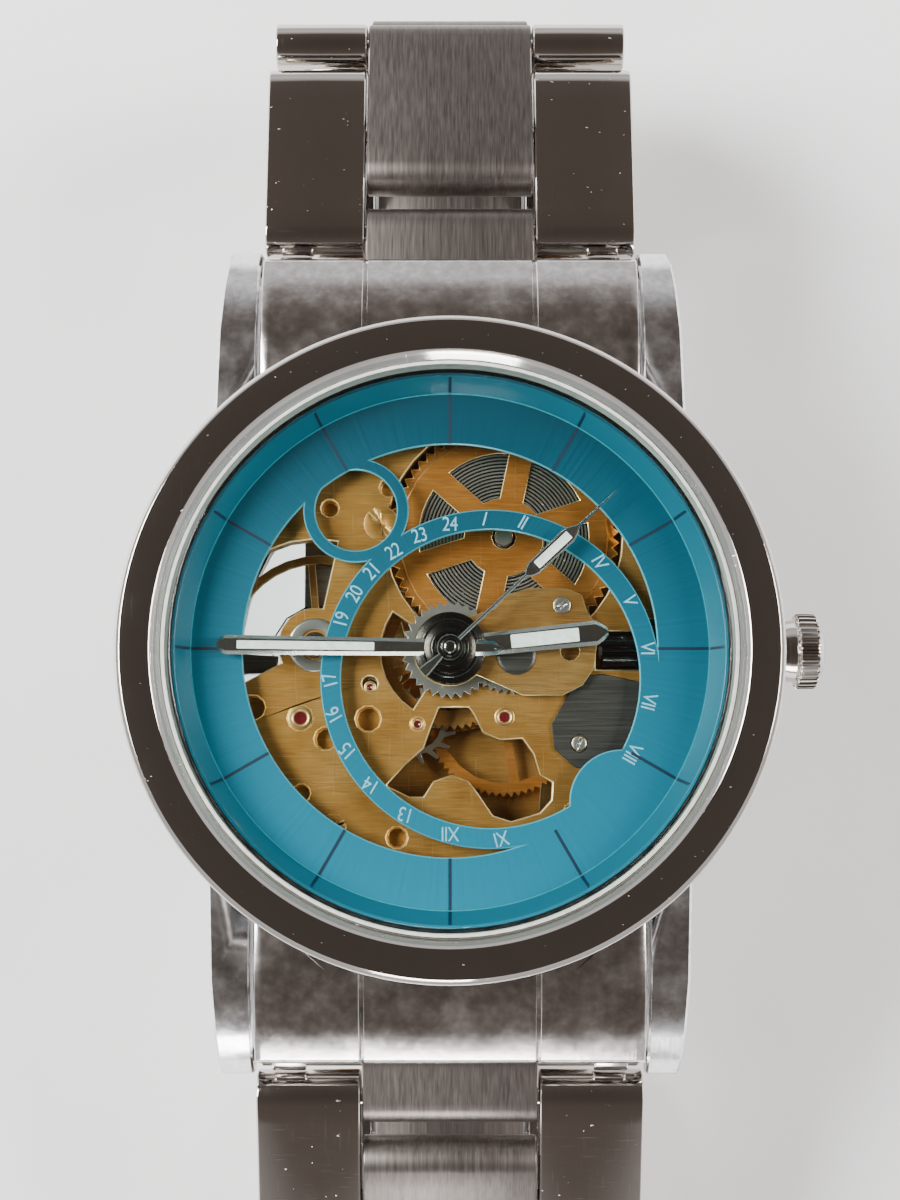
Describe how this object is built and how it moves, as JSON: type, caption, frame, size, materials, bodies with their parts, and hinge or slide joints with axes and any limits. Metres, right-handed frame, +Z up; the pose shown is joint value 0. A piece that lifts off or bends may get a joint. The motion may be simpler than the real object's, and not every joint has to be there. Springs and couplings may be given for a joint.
{
  "type": "skeleton wristwatch",
  "caption": "Skeleton wristwatch: round polished case, open teal dial over a hand-wound movement with working train, and a steel link bracelet closed by a folding clasp.",
  "frame": {"origin": "on the flat underside of the clasp cover, which the closed watch rests on, straight below the centre of the dial", "axes": "+Z up through the dial, +Y to 12 o'clock along the bracelet, +X to 3 o'clock through the crown"},
  "size_m": [0.0399, 0.0853, 0.0276],
  "materials": {
    "polished_steel": "mirror polished stainless steel",
    "brushed_steel": "fine brushed stainless steel",
    "gilt_brass": "brushed gilt brass",
    "dial_teal": "translucent teal lacquer over sunray brushed metal",
    "glass": "clear mineral glass",
    "dark_steel": "dark spring and pinion steel",
    "holder_plastic": "moulded movement holder"
  },
  "bodies": {
    "case": {"case_middle": "polished_steel", "bezel": "polished_steel", "crystal": "glass", "rehaut_ring": "dial_teal", "dial": "dial_teal", "case_back": "polished_steel", "case_back_glass": "glass", "movement_holder": "holder_plastic", "end_link_12": "polished_steel", "end_link_6": "polished_steel", "spring_bar_12": "polished_steel", "spring_bar_6": "polished_steel", "crown_tube": "polished_steel", "main_plate": "gilt_brass", "balance_cock": "gilt_brass", "train_bridge": "gilt_brass", "barrel_bridge": "gilt_brass", "motion_cover": "gilt_brass", "setting_cover": "brushed_steel"},
    "barrel": {"barrel": "gilt_brass", "mainspring": "dark_steel"},
    "minutes": {"center_wheel": "gilt_brass", "cannon_pinion": "polished_steel", "minute_hand": "polished_steel"},
    "hours": {"hour_wheel": "polished_steel", "hour_hand": "polished_steel"},
    "seconds": {"fourth_wheel": "gilt_brass", "second_hand": "polished_steel"},
    "third_wheel": {"third_wheel": "gilt_brass"},
    "minute_wheel": {"minute_wheel": "polished_steel"},
    "escape_wheel": {"escape_wheel": "polished_steel"},
    "pallet_fork": {"pallet_fork": "polished_steel"},
    "balance": {"balance_wheel": "gilt_brass", "hairspring": "dark_steel"},
    "keyless": {"sliding_pinion": "dark_steel", "winding_pinion": "dark_steel"},
    "crown": {"crown": "polished_steel", "winding_stem": "polished_steel"},
    "crown_wheel": {"crown_wheel": "polished_steel"},
    "ratchet": {"ratchet_wheel": "polished_steel", "barrel_arbor": "polished_steel"},
    "center_link_0_12": {"center_link_0_12": "brushed_steel"},
    "outer_link_1_12": {"outer_link_1_12": "polished_steel"},
    "center_link_1_12": {"center_link_1_12": "brushed_steel"},
    "outer_link_2_12": {"outer_link_2_12": "polished_steel"},
    "center_link_2_12": {"center_link_2_12": "brushed_steel"},
    "outer_link_3_12": {"outer_link_3_12": "polished_steel"},
    "center_link_3_12": {"center_link_3_12": "brushed_steel"},
    "center_link_0_6": {"center_link_0_6": "brushed_steel"},
    "outer_link_1_6": {"outer_link_1_6": "polished_steel"},
    "center_link_1_6": {"center_link_1_6": "brushed_steel"},
    "outer_link_2_6": {"outer_link_2_6": "polished_steel"},
    "center_link_2_6": {"center_link_2_6": "brushed_steel"},
    "outer_link_3_6": {"outer_link_3_6": "polished_steel"},
    "center_link_3_6": {"center_link_3_6": "brushed_steel"},
    "clasp_blade_2": {"clasp_blade_2": "polished_steel"},
    "clasp_blade_1": {"clasp_blade_1": "polished_steel"},
    "clasp_cover": {"clasp_cover": "polished_steel"},
    "button_right": {"push_button_right": "polished_steel"},
    "button_left": {"push_button_left": "polished_steel"}
  },
  "joints": [
    {"name": "seconds_turn", "type": "hinge", "parent": "case", "child": "seconds", "pos_m": [0, 0, 0.0196], "axis": [0, 0, 1], "continuous": true},
    {"name": "minutes_turn", "type": "hinge", "parent": "case", "child": "minutes", "pos_m": [0, 0, 0.0207], "axis": [0, 0, 1], "continuous": true},
    {"name": "hours_turn", "type": "hinge", "parent": "case", "child": "hours", "pos_m": [0, 0, 0.0228], "axis": [0, 0, 1], "continuous": true},
    {"name": "third_wheel_turn", "type": "hinge", "parent": "case", "child": "third_wheel", "pos_m": [0.0031, -0.0038, 0.0201], "axis": [0, 0, 1], "continuous": true},
    {"name": "minute_wheel_turn", "type": "hinge", "parent": "case", "child": "minute_wheel", "pos_m": [0.0033, 0.0001, 0.0225], "axis": [0, 0, 1], "continuous": true},
    {"name": "escape_wheel_turn", "type": "hinge", "parent": "case", "child": "escape_wheel", "pos_m": [-0.00185, -0.0042, 0.0204], "axis": [0, 0, 1], "continuous": true},
    {"name": "barrel_turn", "type": "hinge", "parent": "case", "child": "barrel", "pos_m": [0.0031, 0.0066, 0.0215], "axis": [0, 0, 1], "continuous": true},
    {"name": "pallet_fork_rock", "type": "hinge", "parent": "case", "child": "pallet_fork", "pos_m": [-0.00455, -0.0021, 0.0201], "axis": [0, 0, 1], "range_deg": [-5, 5]},
    {"name": "balance_swing", "type": "hinge", "parent": "case", "child": "balance", "pos_m": [-0.0077, 0.0003, 0.019], "axis": [0, 0, 1], "range_deg": [-270, 270], "stiffness_Nm_per_rad": 0.00000024},
    {"name": "crown_turn", "type": "hinge", "parent": "case", "child": "keyless", "pos_m": [0.0097, 0, 0.0216], "axis": [1, 0, 0], "continuous": true},
    {"name": "crown_pull", "type": "slide", "parent": "keyless", "child": "crown", "axis": [1, 0, 0], "range_m": [0, 0.0016]},
    {"name": "crown_wheel_turn", "type": "hinge", "parent": "case", "child": "crown_wheel", "pos_m": [0.0102, 0.0026, 0.019], "axis": [0, 0, 1], "continuous": true},
    {"name": "ratchet_turn", "type": "hinge", "parent": "case", "child": "ratchet", "pos_m": [0.0031, 0.0066, 0.019], "axis": [0, 0, 1], "continuous": true},
    {"name": "center_link_0_12_hinge", "type": "hinge", "parent": "case", "child": "center_link_0_12", "pos_m": [0, 0.0229, 0.0196], "axis": [1, 0, 0], "range_deg": [0, 15]},
    {"name": "outer_link_1_12_hinge", "type": "hinge", "parent": "center_link_0_12", "child": "outer_link_1_12", "pos_m": [0, 0.02547, 0.01924], "axis": [1, 0, 0], "range_deg": [0, 6]},
    {"name": "center_link_1_12_hinge", "type": "hinge", "parent": "outer_link_1_12", "child": "center_link_1_12", "pos_m": [0, 0.0318, 0.01824], "axis": [1, 0, 0], "range_deg": [0, 10]},
    {"name": "outer_link_2_12_hinge", "type": "hinge", "parent": "center_link_1_12", "child": "outer_link_2_12", "pos_m": [0, 0.03801, 0.01669], "axis": [1, 0, 0], "range_deg": [0, 67.82]},
    {"name": "center_link_2_12_hinge", "type": "hinge", "parent": "outer_link_2_12", "child": "center_link_2_12", "pos_m": [0, 0.03947, 0.01046], "axis": [1, 0, 0], "range_deg": [0, 50.1]},
    {"name": "outer_link_3_12_hinge", "type": "hinge", "parent": "center_link_2_12", "child": "outer_link_3_12", "pos_m": [0, 0.03608, 0.00502], "axis": [1, 0, 0], "range_deg": [0, 35.68]},
    {"name": "center_link_3_12_hinge", "type": "hinge", "parent": "outer_link_3_12", "child": "center_link_3_12", "pos_m": [0, 0.0304, 0.00208], "axis": [1, 0, 0], "range_deg": [0, 31.7]},
    {"name": "center_link_0_6_hinge", "type": "hinge", "parent": "case", "child": "center_link_0_6", "pos_m": [0, -0.0229, 0.0196], "axis": [-1, 0, 0], "range_deg": [0, 15]},
    {"name": "outer_link_1_6_hinge", "type": "hinge", "parent": "center_link_0_6", "child": "outer_link_1_6", "pos_m": [0, -0.02539, 0.01884], "axis": [-1, 0, 0], "range_deg": [0, 8]},
    {"name": "center_link_1_6_hinge", "type": "hinge", "parent": "outer_link_1_6", "child": "center_link_1_6", "pos_m": [0, -0.0314, 0.01665], "axis": [-1, 0, 0], "range_deg": [0, 10]},
    {"name": "outer_link_2_6_hinge", "type": "hinge", "parent": "center_link_1_6", "child": "outer_link_2_6", "pos_m": [0, -0.0372, 0.01395], "axis": [-1, 0, 0], "range_deg": [0, 41.5]},
    {"name": "center_link_2_6_hinge", "type": "hinge", "parent": "outer_link_2_6", "child": "center_link_2_6", "pos_m": [0, -0.04025, 0.00832], "axis": [-1, 0, 0], "range_deg": [0, 68.11]},
    {"name": "outer_link_3_6_hinge", "type": "hinge", "parent": "center_link_2_6", "child": "outer_link_3_6", "pos_m": [0, -0.03662, 0.00305], "axis": [-1, 0, 0], "range_deg": [0, 47.26]},
    {"name": "center_link_3_6_hinge", "type": "hinge", "parent": "outer_link_3_6", "child": "center_link_3_6", "pos_m": [0, -0.03039, 0.0016], "axis": [-1, 0, 0], "range_deg": [0, 21.72]},
    {"name": "clasp_end_hinge", "type": "hinge", "parent": "center_link_3_6", "child": "clasp_blade_2", "pos_m": [0, -0.024, 0.002], "axis": [-1, 0, 0], "range_deg": [0, 20]},
    {"name": "clasp_inner_fold", "type": "hinge", "parent": "clasp_blade_2", "child": "clasp_blade_1", "pos_m": [0, 0.0217, 0.0024], "axis": [1, 0, 0], "range_deg": [0, 90]},
    {"name": "clasp_outer_fold", "type": "hinge", "parent": "clasp_blade_1", "child": "clasp_cover", "pos_m": [0, -0.0182, 0.0016], "axis": [-1, 0, 0], "range_deg": [0, 120]},
    {"name": "button_right_press", "type": "slide", "parent": "clasp_cover", "child": "button_right", "axis": [-1, 0, 0], "range_m": [0, 0.0006], "stiffness_N_per_m": 300},
    {"name": "button_left_press", "type": "slide", "parent": "clasp_cover", "child": "button_left", "axis": [1, 0, 0], "range_m": [0, 0.0006], "stiffness_N_per_m": 300}
  ],
  "couplings": [
    {"joint": "minutes_turn", "follows": "seconds_turn", "ratio": 0.016667},
    {"joint": "hours_turn", "follows": "seconds_turn", "ratio": 0.0013889},
    {"joint": "third_wheel_turn", "follows": "seconds_turn", "ratio": -0.125},
    {"joint": "minute_wheel_turn", "follows": "seconds_turn", "ratio": -0.0055556},
    {"joint": "escape_wheel_turn", "follows": "seconds_turn", "ratio": -10},
    {"joint": "barrel_turn", "follows": "seconds_turn", "ratio": -0.0020833},
    {"joint": "crown_wheel_turn", "follows": "crown_turn", "ratio": 0.69231},
    {"joint": "ratchet_turn", "follows": "crown_turn", "ratio": -0.32143}
  ]
}
